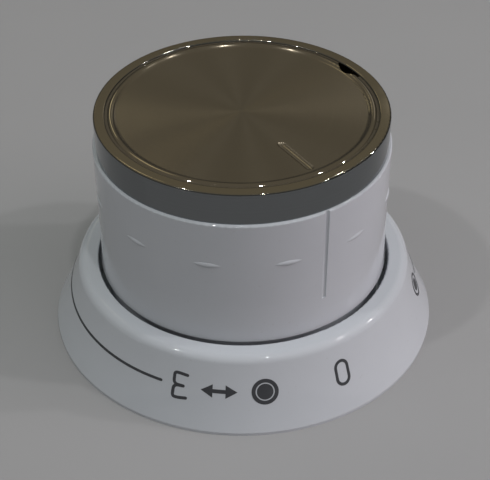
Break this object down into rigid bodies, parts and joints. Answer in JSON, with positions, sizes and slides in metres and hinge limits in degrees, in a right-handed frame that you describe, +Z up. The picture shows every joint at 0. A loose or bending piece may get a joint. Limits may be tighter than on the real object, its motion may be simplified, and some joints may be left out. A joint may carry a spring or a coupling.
{
  "type": "hob knob",
  "caption": "Round hob control knob: a white grip with a pointer groove and a spun metal cap turns in a conical white scale ring that lies flat on the panel.",
  "frame": {"origin": "centre of the scale ring's flat base, on the spindle axis", "axes": "+Z up the spindle axis from the panel to the cap, -Y towards the zero of the scale and the pointer groove at rest"},
  "size_m": [0.05, 0.05, 0.0309],
  "materials": {
    "white_moulding": "moulded gloss white",
    "cap_metal": "polished dark stainless",
    "spun_metal": "circular spun grain",
    "black_polymer": "moulded matt black",
    "washer_polymer": "plain dark polymer",
    "spring_steel": "bright spring steel"
  },
  "bodies": {
    "bezel": {"scale_ring": "white_moulding", "glide_washer": "washer_polymer"},
    "grip": {"grip_shell": "white_moulding", "cap_ring": "cap_metal", "face_disc": "spun_metal", "spindle_socket": "black_polymer", "shaft_clip": "spring_steel", "retaining_ring": "spring_steel"}
  },
  "joints": [
    {"name": "grip_turn", "type": "hinge", "parent": "bezel", "child": "grip", "pos_m": [0, 0, 0.0032], "axis": [0, 0, 1], "range_deg": [0, 334]}
  ]
}
